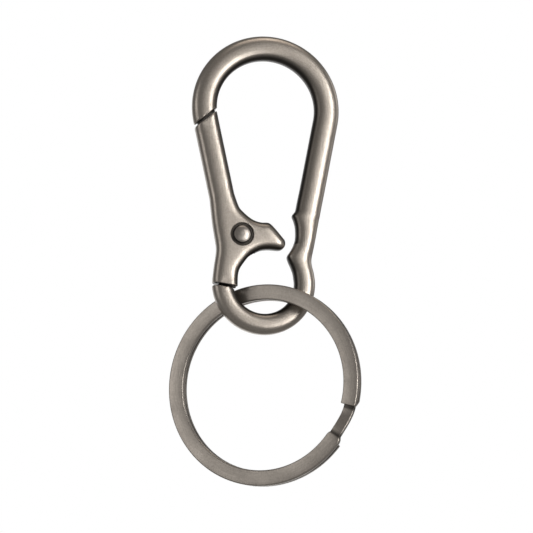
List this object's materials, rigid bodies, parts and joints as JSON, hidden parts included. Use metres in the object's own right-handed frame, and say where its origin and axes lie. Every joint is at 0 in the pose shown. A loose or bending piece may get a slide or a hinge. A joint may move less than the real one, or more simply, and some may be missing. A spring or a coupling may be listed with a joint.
{
  "type": "carabiner keyring",
  "caption": "Spring-gate carabiner hook with a thumb-horn gate on a rivet and a flat-wire split ring for keys through its lower bow.",
  "frame": {"origin": "highest point of the hook's inner edge, at mid-depth, where the hook hangs on a belt loop", "axes": "+Z from the origin up through the top of the hook, with the split ring below; +X from the gate towards the spine; -Y to the front, the side of the domed rivet head"},
  "size_m": [0.0354, 0.0224, 0.0913],
  "materials": {
    "gunmetal_casting": "satin gunmetal plating on die-cast zinc",
    "gunmetal_gate": "satin gunmetal plating on die-cast zinc",
    "gunmetal_rivet": "smooth dark plated steel",
    "spring_wire": "bright drawn spring steel",
    "gunmetal_ring": "satin gunmetal plating on flat steel wire"
  },
  "bodies": {
    "hook": {"hook_body": "gunmetal_casting", "pivot_rivet": "gunmetal_rivet", "gate_spring": "spring_wire"},
    "gate": {"gate_lever": "gunmetal_gate"},
    "ring": {"split_ring": "gunmetal_ring"}
  },
  "joints": [
    {"name": "gate_pivot", "type": "hinge", "parent": "hook", "child": "gate", "pos_m": [-0.005, 0, -0.0362], "axis": [0, 1, 0], "range_deg": [0, 22], "stiffness_Nm_per_rad": 0.02, "springref_deg": -45.84, "deforming": ["gate_spring"]},
    {"name": "ring_turn", "type": "hinge", "parent": "hook", "child": "ring", "pos_m": [-0.0003, 0, -0.0662], "axis": [0, 0, -1], "range_deg": [0, 118]}
  ]
}
